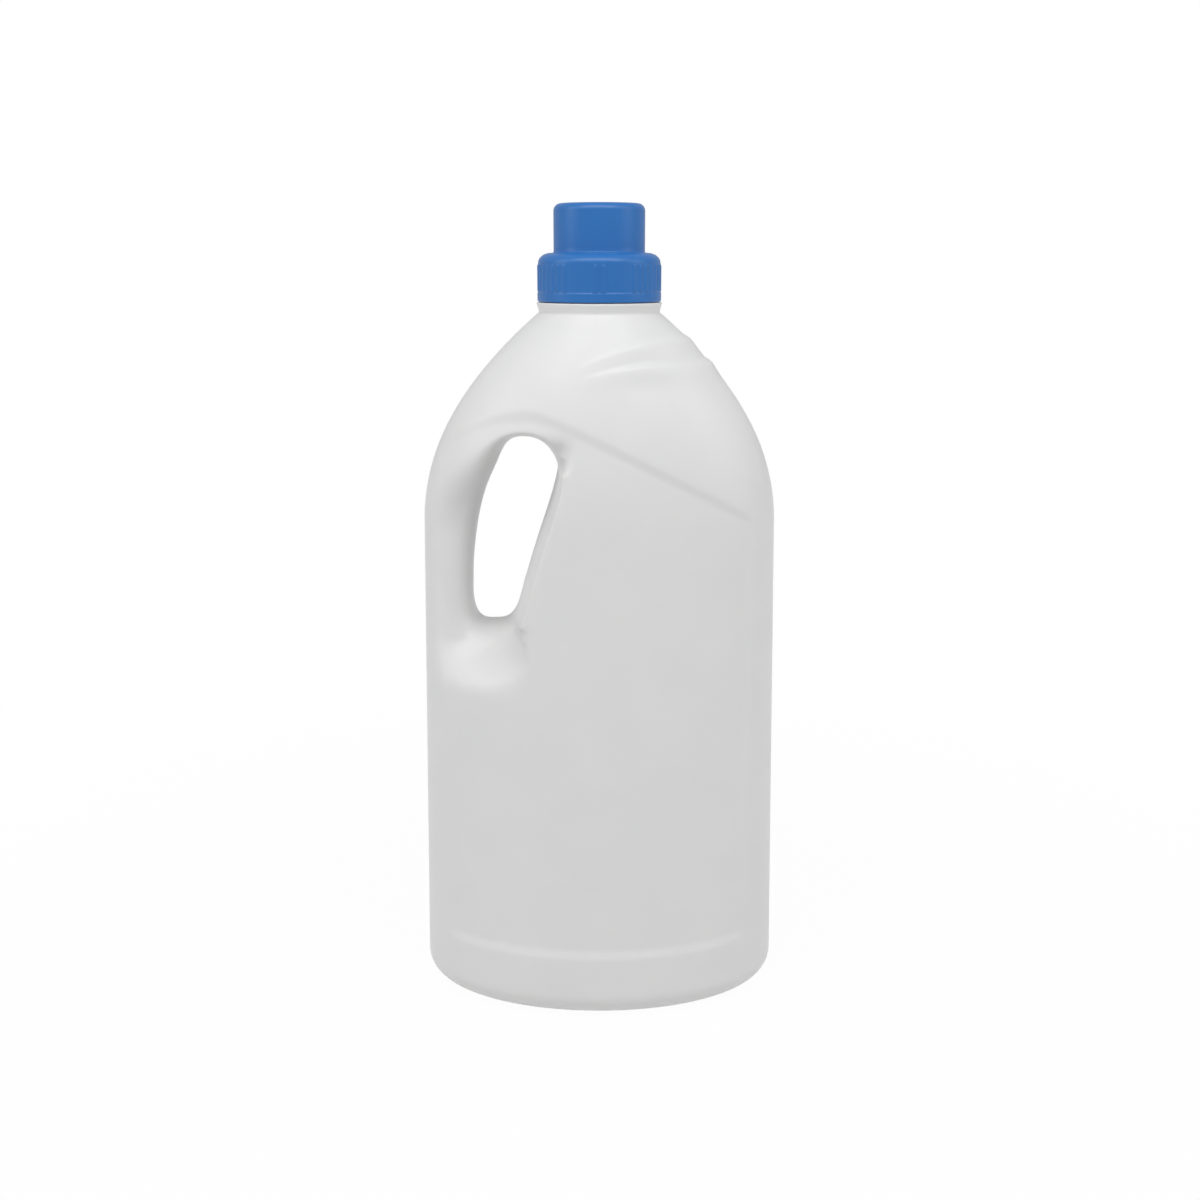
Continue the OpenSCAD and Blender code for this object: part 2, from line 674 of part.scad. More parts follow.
module cap() {
    color("royalblue")
    union() {
        difference() {
            rotate_extrude($fn = 128) polygon(concat(cap_outline(), [[0, cap_foot]]));
            translate([0, 0, cap_foot - 1])
                cylinder(r = cap_bore_r, h = plate_z - cap_foot + 1, $fn = 96);
            translate([0, 0, cap_foot])
                cylinder(r = crown_bore_r, h = cap_top - cap_wall - cap_foot, $fn = 96);
        }
        for (n = [0:rib_places - 1]) {
            angle = 360 * (n + 0.5) / rib_places;
            if (!in_window(angle)) grip_rib(angle);
        }
        thread(cap_bore_r + THREAD_SINK, cap_thread_r, CAP_RIDGE, cap_turns, cap_thread_foot);
    }
}

bottle();
pouring_spout();
sealing_ring();
cap();
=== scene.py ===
"""Looks for a white blow-moulded bottle with a moulded-in handle and a blue screw cap."""

from math import asin, atan2, cos, hypot, pi, radians, sin, sqrt, tau

import bmesh
import bpy
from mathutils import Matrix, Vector


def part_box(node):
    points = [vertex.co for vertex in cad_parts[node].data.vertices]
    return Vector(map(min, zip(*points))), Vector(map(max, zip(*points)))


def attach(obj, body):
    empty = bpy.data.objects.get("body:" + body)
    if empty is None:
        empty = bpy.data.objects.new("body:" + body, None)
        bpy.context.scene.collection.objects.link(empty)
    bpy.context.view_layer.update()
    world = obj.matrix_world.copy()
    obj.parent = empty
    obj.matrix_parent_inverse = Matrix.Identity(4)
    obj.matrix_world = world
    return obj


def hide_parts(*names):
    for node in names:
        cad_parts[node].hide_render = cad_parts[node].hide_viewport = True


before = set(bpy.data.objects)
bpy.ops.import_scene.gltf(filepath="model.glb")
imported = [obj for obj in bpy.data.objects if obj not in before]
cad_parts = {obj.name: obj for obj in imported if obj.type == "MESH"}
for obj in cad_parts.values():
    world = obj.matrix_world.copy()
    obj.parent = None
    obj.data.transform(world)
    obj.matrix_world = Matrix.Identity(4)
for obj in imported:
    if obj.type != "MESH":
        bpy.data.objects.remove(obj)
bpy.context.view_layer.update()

MM = 0.001

# Body, in millimetres, as the part's source has it
BODY_H = 252
BODY_W = 132.6
CHEST_W = 127.4
BODY_D = 86
CHEST_D = 82.6
SHOULDER_H = 75
FOOT_R = 10
STAND_W = 3.5
PUSH_UP = 3.5
WALL = 1.2

# Label panel, crease and the two ledges of the shoulder
PANEL_IN = 1
PANEL_FOOT = 23.7
PANEL_RIGHT = 55.6
PANEL_LEFT = 58
CREASE_TOP = 221.5
CREASE_X = 24
LEDGE_H = 1.2
UPPER_LEDGE = 245.5
LOWER_LEDGE = 237.3

# Handle and finger hole
HOLE_FOOT = 139.8
HOLE_H = 70.7
HOLE_W = 28
HOLE_FOOT_W = 20
HOLE_TOP_X = 25.7
HOLE_FOOT_X = 38.9
GRIP_D = 28
HOLE_LIP = 2.8

# Neck
COLLAR_R = 22.1
COLLAR_STEP = 0.3
COLLAR_H = 4
NECK_R = 18.7
MOUTH_R = 17.3
PITCH = 4
THREAD_OUT = 1.2
NECK_TURNS = 1.75
THREAD_START = 3

# Cap
CAP_R = 21.8
SKIRT_H = 13.1
STEP_H = 3.5
CROWN_R = 16
CROWN_EDGE = 2.6
CAP_WALL = 1.6
BAND_H = 3
RIB_OUT = 0.3
CAP_TURNS = 1.25

# Spout and sealing ring
LIP_R = 11.5
LIP_H = 14
GUTTER = 10
SPOUT_WALL = 1.1
LIP_SLANT = radians(24)

# Clearances
THREAD_GAP = 0.3
PLUG_GAP = 0.1
SEAL_GAP = 0.3

# Heights that the frame gives
RIM_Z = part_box("bottle")[1].z / MM
SEAL_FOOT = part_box("sealing_ring")[0].z / MM
SEAL_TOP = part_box("sealing_ring")[1].z / MM
CAP_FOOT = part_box("cap")[0].z / MM
CAP_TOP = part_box("cap")[1].z / MM
NECK_FOOT = BODY_H + COLLAR_H

# Constants of the moulded forms: widths, and radii of bends, in millimetres
SHOULDER_POW = 2.08
EDGE_W = 4
PANEL_FADE = 10
CREASE_W = 5
CREASE_SOFT = 6
CREASE_SLOPE = 0.42
CREASE_BEND_L = 84.7
CREASE_BEND_R = 900
POCKET_W = 11
LEDGE_W = 2.4
LEDGE_FADE = 9
LEDGE_END = -12
LEDGE_GROW = 32
UPPER_END = 26
UPPER_BEND = 118
LOWER_END = 22
LOWER_BEND = 192
HOLE_BOW = 8.5
HOLE_BEND = 0.845
BEND_SOFT = 0.06
HOLE_CORNER = 6.1
FOOT_SHARE = 0.22
TAPER_SHARE = 0.65
TOP_POW = 2.4
FOOT_POW = 3.3
GRIP_BLEND = 7
GRIP_CREST = 3
GRIP_POW = 0.32
GRIP_OPEN = 60
GRIP_GROW = 32
ZONE_LEAN = 0.15
ZONE_SOFT = 0.6
RAMP_SOFT = 1.4
LIP_FADE = 0.5
LIP_FADE_MAX = 6
RAMP_TOP = 2
RAMP_H = 18
RAMP_DROP = 50
TOP_CORNER = 0.88
FOOT_CORNER = 0.93
HOLE_ROW_SHARE = 0.752
SEAM_OUT = 0.1


def lerp(a, b, t):
    return a + (b - a) * t


def clamp(v, low=0, high=1):
    return max(low, min(high, v))


def ease(t):
    c = clamp(t)
    return c * c * (3 - 2 * c)


def soft_min(a, b, r):
    h = clamp(0.5 + 0.5 * (b - a) / r)
    return lerp(b, a, h) - r * h * (1 - h)


# Half the width and half the depth of the plain body at height z
CHEST_Z = BODY_H - SHOULDER_H
SEAT_R = COLLAR_R - COLLAR_STEP


def body_radius(z, foot, chest):
    trunk = lerp(foot, chest, clamp((z - FOOT_R) / (CHEST_Z - FOOT_R))) / 2
    return lerp(trunk, SEAT_R, max(0, (z - CHEST_Z) / SHOULDER_H) ** SHOULDER_POW)


def half_w(z):
    return body_radius(z, BODY_W, CHEST_W)


def half_d(z):
    return body_radius(z, BODY_D, CHEST_D)


def crease_z(x):
    dx = x + CREASE_X
    if dx < 0:
        return CREASE_TOP - dx * dx / CREASE_BEND_L
    return CREASE_TOP - CREASE_SLOPE * (hypot(dx, CREASE_SOFT) - CREASE_SOFT) - dx * dx / CREASE_BEND_R


def ledge_z(x, height, end, bend):
    return height - (end - clamp(x, LEDGE_END, end)) ** 2 / bend


def upper_z(x):
    return ledge_z(x, UPPER_LEDGE, UPPER_END, UPPER_BEND)


def lower_z(x):
    return ledge_z(x, LOWER_LEDGE, LOWER_END, LOWER_BEND)


def upper_foot(x):
    return max(upper_z(x) - LEDGE_W, (lower_z(x) + upper_z(x)) / 2)


def one_ledge(drop):
    return ease(drop / LEDGE_W) * (1 - ease(drop / LEDGE_FADE))


def ledges(x, z):
    out = max(one_ledge(upper_z(x) - z), one_ledge(lower_z(x) - z))
    return LEDGE_H * ease((x - LEDGE_END) / LEDGE_GROW) * out


# Finger hole: a leaning, tapered slot with round ends
HOLE_MID = HOLE_FOOT + HOLE_H / 2
HOLE_LOW = HOLE_FOOT + HOLE_CORNER


def hole_share(z):
    return (z - HOLE_FOOT) / HOLE_H


def hole_x(z):
    t = soft_min(max(0, hole_share(z)) / HOLE_BEND, 1, BEND_SOFT)
    return lerp(-HOLE_FOOT_X, -HOLE_TOP_X, t) - HOLE_BOW * t * (1 - t)


def hole_taper(z):
    return lerp(HOLE_FOOT_W, HOLE_W, clamp((hole_share(z) - FOOT_SHARE) / TAPER_SHARE)) / 2


def end_pow(z):
    return TOP_POW if z > HOLE_MID else FOOT_POW


def round_end(s, p):
    return max(0, 1 - abs(s) ** p) ** (1 / p)


def hole_half(z):
    return hole_taper(z) * round_end(2 * hole_share(z) - 1, end_pow(z))


def hole_gap(x, z):
    """Distance of a point of the front view from the hole's edge."""
    p = end_pow(z)
    across_it = abs(x - hole_x(z)) / hole_taper(z)
    along_it = abs(z - HOLE_MID) * 2 / HOLE_H
    reach = (across_it ** p + along_it ** p) ** (1 / p)
    if reach <= 1:
        return 0
    slope_x = across_it ** (p - 1) / hole_taper(z)
    slope_z = along_it ** (p - 1) * 2 / HOLE_H
    return (reach - 1) / (reach ** (1 - p) * hypot(slope_x, slope_z))


GRIP_W = half_w(HOLE_MID) - abs(hole_x(HOLE_MID)) - hole_taper(HOLE_MID)


def grip_half(x, z):
    gap = hole_gap(x, z)
    side = max(0, x + half_w(z)) / hypot(1, half_w(z + 0.5) - half_w(z - 0.5))
    crest = (GRIP_D + GRIP_CREST) / 2
    up = max(0, z - HOLE_MID)
    swell = (4 * gap * side / GRIP_W ** 2) ** GRIP_POW
    grown = crest * swell * (1 + (up / GRIP_GROW) ** 2)
    return soft_min(grown, crest + up * up / GRIP_OPEN, GRIP_CREST)


HOLE_HIGH = HOLE_FOOT + HOLE_BEND * HOLE_H


def zone_edge(z):
    """Right edge of the pressed-in zone round the handle."""
    held = clamp(z, HOLE_LOW, HOLE_HIGH)
    return hole_x(held) + hole_half(held) - ZONE_LEAN * max(0, HOLE_LOW - z)


def lip_fade(z):
    """How much wider the hole's right lip gets under its foot, where it fades into the ramp."""
    return min(LIP_FADE_MAX, LIP_FADE * max(0, HOLE_LOW - z))


def outside_zone(x, z):
    """Share of the plain body: none in the zone, all of it beside, above and under it."""
    start = zone_edge(z) - RAMP_SOFT * max(0, HOLE_FOOT - z)
    stop = zone_edge(z) + HOLE_LIP + ZONE_SOFT * max(0, z - HOLE_HIGH) + lip_fade(z)
    beside = ease((x - start) / (stop - start))
    above = ease(1 + (z - crease_z(x)) / POCKET_W)
    under = ease((HOLE_FOOT - RAMP_TOP - z) / RAMP_H)
    return 1 - (1 - beside) * (1 - above) * (1 - under)


def panel_share(x, z):
    up_down = ease((z - PANEL_FOOT) / EDGE_W) * ease((crease_z(x) - z) / CREASE_W)
    sideways = ease((PANEL_RIGHT - x) / CREASE_W) * ease((x + PANEL_LEFT) / CREASE_W)
    return up_down * sideways


def body_half(x, z):
    full = half_d(z) * sqrt(max(0, 1 - (x / half_w(z)) ** 2))
    plain = full - PANEL_IN * panel_share(x, z) * ease(full / PANEL_FADE)
    blend = min(GRIP_BLEND, 0.01 + plain / 2)
    return lerp(soft_min(grip_half(x, z), plain, blend), plain, outside_zone(x, z))


# The skin's grid. Columns run across the front, and the hole lies between two of them
HOLE_A = 30
HOLE_B = 45
LIP_COLS = 10
COLS = 112
ANGLE_A = -42
ANGLE_B = -18
ANGLE_LIP = -11.5
HOLE_ROWS = 56
BASE_STEPS = 12
RING_STEPS = 3
FOOT_STEPS = 12


def base_line():
    """Inset and height of each row of the base, from its middle line out to the foot's top."""
    flat = FOOT_R + STAND_W
    push_w = 9
    rows = [(BODY_D / 2, PUSH_UP), (BODY_D / 2 - 8, PUSH_UP), (flat + push_w + 4, PUSH_UP)]
    for n in range(BASE_STEPS + 1):
        t = n / BASE_STEPS
        rows.append((flat + push_w * (1 - t), PUSH_UP * (1 - ease(t))))
    for n in range(1, RING_STEPS + 1):
        rows.append((flat - STAND_W * n / RING_STEPS, 0))
    for n in range(1, FOOT_STEPS):
        a = pi / 2 * n / FOOT_STEPS
        rows.append((FOOT_R * (1 - sin(a)), FOOT_R * (1 - cos(a))))
    return rows


def level(z):
    return lambda x: z


def below(line, drop):
    return lambda x: line(x) - drop


def hole_line(x):
    return lerp(HOLE_LOW, crease_z(x), HOLE_ROW_SHARE)


# Stretches of rows up the wall: lower line, upper line, rows, and how they crowd
RAMP_ROWS = 38
ABOVE_ROWS = 18
STRETCHES = [
    (level(FOOT_R), level(PANEL_FOOT - 0.5), 8, 1),
    (level(PANEL_FOOT - 0.5), level(PANEL_FOOT + EDGE_W + 0.5), 7, 1),
    (level(PANEL_FOOT + EDGE_W + 0.5), level(HOLE_LOW - RAMP_DROP), 36, 1),
    (level(HOLE_LOW - RAMP_DROP), level(HOLE_LOW), RAMP_ROWS, -1.7),
    (level(HOLE_LOW), hole_line, HOLE_ROWS, 1),
    (hole_line, below(crease_z, CREASE_W + 0.5), ABOVE_ROWS, 1.6),
    (below(crease_z, CREASE_W + 0.5), below(crease_z, -0.5), 8, 1),
    (below(crease_z, -0.5), below(lower_z, LEDGE_W), 16, 1),
    (below(lower_z, LEDGE_W), lower_z, 6, 1),
    (lower_z, upper_foot, 6, 1),
    (upper_foot, upper_z, 6, 1),
    (upper_z, level(BODY_H), 10, 1),
]


def wall_lines():
    lines = [(level(FOOT_R), level(FOOT_R), 0)]
    for low, high, count, crowd in STRETCHES:
        for n in range(1, count + 1):
            t = n / count
            share = t ** crowd if crowd > 0 else 1 - (1 - t) ** -crowd
            lines.append((low, high, share))
    return lines


BASE = base_line()
LINES = wall_lines()
FIRST = len(BASE)
HOLE_1 = FIRST + sum(s[2] for s in STRETCHES[:4])
HOLE_2 = HOLE_1 + HOLE_ROWS
LAST = FIRST + len(LINES) - 1


def across(col):
    """Place of a column on the plain body, from -1 at the left to 1 at the right."""
    if col <= HOLE_A:
        angle = lerp(-90, ANGLE_A, col / HOLE_A)
    elif col <= HOLE_B:
        angle = lerp(ANGLE_A, ANGLE_B, (col - HOLE_A) / (HOLE_B - HOLE_A))
    elif col <= HOLE_B + LIP_COLS:
        angle = lerp(ANGLE_B, ANGLE_LIP, (col - HOLE_B) / LIP_COLS)
    else:
        angle = lerp(ANGLE_LIP, 90, (col - HOLE_B - LIP_COLS) / (COLS - HOLE_B - LIP_COLS))
    return sin(radians(angle))


def row_z(row, x):
    low, high, share = LINES[row - FIRST]
    return lerp(low(x), high(x), share)


def plain_place(row, col):
    z = row_z(row, across(col) * CHEST_W / 2)
    z = row_z(row, across(col) * half_w(z))
    return across(col) * half_w(z), z


def left_of_hole(z, col):
    return lerp(-half_w(z), hole_x(z) - hole_half(z), (1 - cos(pi * col / HOLE_A)) / 2)


def right_of_hole(z, col):
    k = col - HOLE_B
    edge = hole_x(z) + hole_half(z)
    if k <= LIP_COLS:
        return edge + HOLE_LIP * (k / LIP_COLS) ** 1.4
    start = asin((edge + HOLE_LIP) / half_w(z))
    t = (k - LIP_COLS) / (COLS - HOLE_B - LIP_COLS)
    return half_w(z) * sin(lerp(start, pi / 2, t))


def split_place(row, col):
    """Place of a point in a row that the hole splits into grip and body."""
    if HOLE_A < col < HOLE_B:
        top = row == HOLE_2
        p = TOP_POW if top else FOOT_POW
        corner = round_end(TOP_CORNER if top else FOOT_CORNER, p)
        s = lerp(-1, 1, (col - HOLE_A) / (HOLE_B - HOLE_A)) * corner
        z = HOLE_MID + (1 if top else -1) * round_end(s, p) * HOLE_H / 2
        return hole_x(z) + s * hole_taper(z), z
    low = HOLE_MID - FOOT_CORNER * HOLE_H / 2
    high = HOLE_MID + TOP_CORNER * HOLE_H / 2
    near = col / HOLE_A if col <= HOLE_A else ease(1 - (col - HOLE_B) / (LIP_COLS + 22))
    z = lerp(plain_place(row, col)[1], lerp(low, high, (row - HOLE_1) / HOLE_ROWS), near)
    return (left_of_hole(z, col) if col <= HOLE_A else right_of_hole(z, col)), z


def place(row, col):
    """Place in the front view, in which the rows near the hole bend round it."""
    held = clamp(row, HOLE_1, HOLE_2)
    rows = RAMP_ROWS if row < HOLE_1 else ABOVE_ROWS
    pull = ease(1 - abs(row - held) / rows)
    x, z = plain_place(row, col)
    if pull == 0:
        return x, z
    plain_x, plain_z = plain_place(held, col)
    split_x, split_z = split_place(held, col)
    return x + pull * (split_x - plain_x), z + pull * (split_z - plain_z)


def on_hole(row, col):
    return HOLE_1 <= row <= HOLE_2 and HOLE_A <= col <= HOLE_B


def skin_point(row, col):
    """Point of the front skin in millimetres."""
    if row < FIRST:
        inset, z = BASE[row]
        u = across(col)
        return Vector((u * (BODY_W / 2 - inset), -sqrt(1 - u * u) * (BODY_D / 2 - inset), z))
    x, z = place(row, col)
    u = clamp(x / half_w(z), -1, 1)
    out = ledges(x, z)
    if col in (0, COLS) or on_hole(row, col):
        return Vector((x + out * u, 0, z))
    return Vector((x + out * u, -body_half(x, z) - out * sqrt(1 - u * u), z))


def front_skin(rows):
    """Half a skin: a grid in rows and columns, opened at the hole and bent to the body."""
    bm = bmesh.new()
    bmesh.ops.create_grid(bm, x_segments=COLS, y_segments=len(rows) - 1, size=1)
    step = 2 / COLS
    rise = 2 / (len(rows) - 1)
    spots = {v: (rows[round((v.co.y + 1) / rise)], round((v.co.x + 1) / step)) for v in bm.verts}
    inside = []
    for face in bm.faces:
        row = sum(spots[v][0] for v in face.verts) / 4
        col = sum(spots[v][1] for v in face.verts) / 4
        if HOLE_1 < row < HOLE_2 and HOLE_A < col < HOLE_B:
            inside.append(face)
    bmesh.ops.delete(bm, geom=inside, context="FACES")
    for v in bm.verts:
        v.co = skin_point(*spots[v])
    return bm


def whole_skin(rows):
    """A skin all round: the front half, mirrored in the parting plane and joined there."""
    bm = front_skin(rows)
    bmesh.ops.mirror(bm, geom=bm.verts[:] + bm.edges[:] + bm.faces[:], axis="Y", merge_dist=-1)
    bmesh.ops.remove_doubles(bm, verts=bm.verts, dist=0.0005)
    bmesh.ops.recalc_face_normals(bm, faces=bm.faces)
    bm.normal_update()
    return bm


def open_ring(bm):
    """The open edges at the top of a skin, and their points."""
    edges = [e for e in bm.edges if e.is_boundary]
    return edges, list({v for e in edges for v in e.verts})


def raise_ring(bm, edges, radius, z, bump=None):
    """Next ring of a round wall: the last ring's edges, extruded and set to radius and height."""
    made = bmesh.ops.extrude_edge_only(bm, edges=edges)["geom"]
    for v in (g for g in made if isinstance(g, bmesh.types.BMVert)):
        angle = atan2(v.co.y, v.co.x)
        r = radius + (bump(angle, z) if bump else 0)
        v.co = (r * cos(angle), r * sin(angle), z)
    return [g for g in made if isinstance(g, bmesh.types.BMEdge) and g.is_boundary]


# Half heights of a thread's ridge at its root and at its crest
RIDGE_ROOT = 0.94
RIDGE_CREST = 0.45


def ridge(turns, foot_z):
    """Height of a thread over its wall, as a function of angle and height."""
    def bump(angle, z):
        best = 0
        for lap in range(2):
            t = (angle % tau) / tau + lap
            fade = ease(8 * min(t, turns - t))
            off = abs(z - foot_z - PITCH * t)
            best = max(best, fade * ease((RIDGE_ROOT - off) / (RIDGE_ROOT - RIDGE_CREST)))
        return THREAD_OUT * best
    return bump


NECK_TURN_ROWS = 40

# The collar is drawn in at its foot and flares up to the cap, with a small radius at each edge
WAIST_R = SEAT_R - 0.5
WAIST_Z = BODY_H + 0.6
EDGE_R = 0.4


def neck_rings():
    """Radius, height and thread flag of each ring, from the body up and into the mouth."""
    top_of_flare = NECK_FOOT - EDGE_R
    rings = [(lerp(SEAT_R, WAIST_R, n / 3), BODY_H + 0.15 * n, False) for n in range(1, 4)]
    for n in range(1, 6):
        rings.append((lerp(WAIST_R, COLLAR_R, n / 5), lerp(WAIST_Z, top_of_flare, n / 5), False))
    for n in range(1, 5):
        a = pi / 2 * n / 4
        rings.append((COLLAR_R - EDGE_R * (1 - cos(a)), NECK_FOOT - EDGE_R * (1 - sin(a)), False))
    rings.append((NECK_R + 0.5, NECK_FOOT, False))
    rings.append((NECK_R + 0.15, NECK_FOOT + 0.15, False))
    top = RIM_Z - EDGE_R
    for n in range(NECK_TURN_ROWS + 1):
        rings.append((NECK_R, lerp(NECK_FOOT + 0.5, top, n / NECK_TURN_ROWS), True))
    for n in range(1, 5):
        a = pi / 2 * n / 4
        rings.append((NECK_R - EDGE_R * (1 - cos(a)), RIM_Z - EDGE_R * (1 - sin(a)), False))
    rings.append((MOUTH_R + 0.2, RIM_Z, False))
    rings.append((MOUTH_R, RIM_Z - 0.2, False))
    rings.append((MOUTH_R, BODY_H + 1.5, False))
    rings.append((MOUTH_R + 0.4, BODY_H + 0.3, False))
    rings.append((MOUTH_R + 1.6, BODY_H - 0.6, False))
    return rings


def smooth_piece(name, bm, scale=MM):
    """An object from a bmesh in millimetres, smooth shaded."""
    bmesh.ops.scale(bm, vec=(scale, scale, scale), verts=bm.verts)
    mesh = bpy.data.meshes.new(name)
    bm.to_mesh(mesh)
    bm.free()
    mesh.shade_smooth()
    piece = bpy.data.objects.new(name, mesh)
    bpy.context.scene.collection.objects.link(piece)
    return piece


def inner_rows():
    """Every third row, with the wall's first and last rows and those that carry the hole's ends."""
    rows = set(range(0, LAST + 1, 3)) | {FIRST, HOLE_1, HOLE_2, LAST}
    return sorted(rows - {HOLE_1 - 1, HOLE_1 + 1, HOLE_2 - 1, HOLE_2 + 1, LAST - 1})


# A point this near the parting plane lies in it
SAME_PLACE = 0.001


def make_bottle():
    bm = whole_skin(list(range(LAST + 1)))
    for v in bm.verts:
        if abs(v.co.y) < SAME_PLACE and v.co.z > FOOT_R:
            v.co += SEAM_OUT * v.normal
    inner = whole_skin(inner_rows())
    for v in inner.verts:
        v.co -= WALL * v.normal
    bmesh.ops.reverse_faces(inner, faces=inner.faces)
    inner_mesh = bpy.data.meshes.new("inner_skin")
    inner.to_mesh(inner_mesh)
    inner.free()
    edges, _ = open_ring(bm)
    thread = ridge(NECK_TURNS, NECK_FOOT + THREAD_START)
    for radius, z, threaded in neck_rings():
        edges = raise_ring(bm, edges, radius, z, thread if threaded else None)
    bm.from_mesh(inner_mesh)
    bpy.data.meshes.remove(inner_mesh)
    bm.edges.ensure_lookup_table()
    loops = [e for e in bm.edges if e.is_boundary]
    bmesh.ops.bridge_loops(bm, edges=loops)
    bmesh.ops.recalc_face_normals(bm, faces=bm.faces)
    piece = smooth_piece("bottle_body", bm)
    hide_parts("bottle")
    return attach(piece, "bottle")


def spun(profile, steps, closed=False):
    """A bmesh turned from an outline of (radius, height) points."""
    bm = bmesh.new()
    verts = [bm.verts.new((r, 0, z)) for r, z in profile]
    pairs = list(zip(verts, verts[1:])) + ([(verts[-1], verts[0])] if closed else [])
    edges = [bm.edges.new(pair) for pair in pairs]
    bmesh.ops.spin(
        bm, geom=verts + edges, axis=(0, 0, 1), cent=(0, 0, 0), angle=tau, steps=steps, use_merge=True
    )
    bmesh.ops.remove_doubles(bm, verts=bm.verts, dist=0.0005)
    return bm


def arc(cx, cz, r, start, end, steps):
    """Points of an arc, with its angles in degrees from +X towards +Z."""
    points = []
    for n in range(steps + 1):
        a = radians(lerp(start, end, n / steps))
        points.append((cx + r * cos(a), cz + r * sin(a)))
    return points


def straight(a, b, steps):
    """Points between two ends, without the ends."""
    return [(lerp(a[0], b[0], n / steps), lerp(a[1], b[1], n / steps)) for n in range(1, steps)]


SKIRT_R = CAP_R - RIB_OUT
SKIRT_TOP = CAP_FOOT + SKIRT_H
STEP_TOP = SKIRT_TOP + STEP_H
CAP_BORE = NECK_R + THREAD_OUT + THREAD_GAP
CROWN_BORE = CROWN_R - CAP_WALL
PLATE_Z = SEAL_TOP
RIB_PLACES = 48
WINDOWS = (-20, 20)
WINDOW_HALF = 13
CAP_STEPS = 384


def cap_profile():
    """Outline of the cap from the middle of its top, down outside, and up inside."""
    outside = [(0, CAP_TOP), (CROWN_R * 0.6, CAP_TOP)]
    outside += arc(CROWN_R - CROWN_EDGE, CAP_TOP - CROWN_EDGE, CROWN_EDGE, 90, 0, 8)
    outside += [(CROWN_R, STEP_TOP + 2), (CROWN_R, STEP_TOP + 0.5)]
    outside += [(CROWN_R + 0.15, STEP_TOP + 0.12), (CROWN_R + 0.5, STEP_TOP)]
    shoulder = [(CROWN_R + 0.8, STEP_TOP)]
    for n in range(1, 11):
        a = pi / 2 * (1 - n / 10)
        shoulder.append((lerp(CROWN_R + 0.8, SKIRT_R, cos(a)), SKIRT_TOP + STEP_H * sin(a)))
    outside += shoulder
    band_top = CAP_FOOT + BAND_H
    outside += straight((SKIRT_R, SKIRT_TOP), (SKIRT_R, band_top + 0.5), 30)
    outside += [(SKIRT_R, band_top + 0.5), (SKIRT_R + 0.03, band_top + 0.35)]
    outside += [(CAP_R - 0.03, band_top), (CAP_R, band_top - 0.2)]
    outside += [(CAP_R, CAP_FOOT + 0.4)] + arc(CAP_R - 0.3, CAP_FOOT + 0.3, 0.3, 0, -90, 4)
    inside = [(CAP_BORE + 0.2, CAP_FOOT), (CAP_BORE, CAP_FOOT + 0.2)]
    inside += straight((CAP_BORE, CAP_FOOT + 0.2), (CAP_BORE, PLATE_Z - 0.3), 40)
    inside += [(CAP_BORE, PLATE_Z - 0.3), (CAP_BORE - 0.3, PLATE_Z)]
    inside += [(CROWN_BORE + 0.3, PLATE_Z), (CROWN_BORE, PLATE_Z + 0.3)]
    inner_top = CAP_TOP - CAP_WALL
    inside += [(CROWN_BORE, inner_top - 1)]
    inside += arc(CROWN_BORE - 1, inner_top - 1, 1, 0, 90, 4) + [(0, inner_top)]
    return outside + inside


def in_window(degrees):
    """True beside a rib's place that one of the four smooth windows takes."""
    for side in (90, 270):
        for window in WINDOWS:
            if abs(degrees - side - window) < WINDOW_HALF:
                return True
    return False


RIB_LOW = CAP_FOOT + BAND_H - 0.2
RIB_HIGH = SKIRT_TOP - 0.2
RIB_HALF = 0.5
RIB_SIDE = 0.35
# A point this near a wall's radius belongs to that wall
ON_WALL = 0.02


def rib_height(angle, z):
    """How far a grip rib stands out at an angle and a height of the skirt."""
    pitch = 360 / RIB_PLACES
    degrees = (angle * 360 / tau) % 360
    centre = (int(degrees / pitch) + 0.5) * pitch
    if in_window(centre):
        return 0
    off = abs(degrees - centre) / 360 * tau * SKIRT_R
    side = ease((RIB_HALF + RIB_SIDE - off) / RIB_HALF)
    ends = ease((z - RIB_LOW) / 0.4) * ease((RIB_HIGH - z) / 0.8)
    return RIB_OUT * side * ends


def make_cap():
    bm = spun(cap_profile(), CAP_STEPS)
    thread = ridge(CAP_TURNS, CAP_THREAD_FOOT)
    for v in bm.verts:
        r = hypot(v.co.x, v.co.y)
        if r < 1:
            continue
        angle = atan2(v.co.y, v.co.x)
        if abs(r - SKIRT_R) < ON_WALL and RIB_LOW < v.co.z < SKIRT_TOP:
            r += rib_height(angle, v.co.z)
        elif abs(r - CAP_BORE) < ON_WALL and v.co.z < PLATE_Z - 0.5:
            r -= thread(angle, v.co.z)
        v.co.x = r * cos(angle)
        v.co.y = r * sin(angle)
    bmesh.ops.recalc_face_normals(bm, faces=bm.faces)
    piece = smooth_piece("screw_cap", bm)
    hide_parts("cap")
    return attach(piece, "cap")


# Widths of the ridges as the part's source has them, which set where the cap's thread hangs
THREAD_SINK = 0.4
NECK_RIDGE = (2.2, 0.9)
CAP_RIDGE = (1.9, 0.7)
MEET_R = NECK_R + (THREAD_OUT + THREAD_GAP) / 2


def ridge_width(r, root_r, tip_r, widths):
    return lerp(widths[0], widths[1], (r - root_r) / (tip_r - root_r))


CAP_THREAD_FOOT = (
    NECK_FOOT + THREAD_START - THREAD_GAP
    - ridge_width(MEET_R, NECK_R - THREAD_SINK, NECK_R + THREAD_OUT, NECK_RIDGE) / 2
    - ridge_width(MEET_R, CAP_BORE + THREAD_SINK, NECK_R + THREAD_GAP, CAP_RIDGE) / 2
)


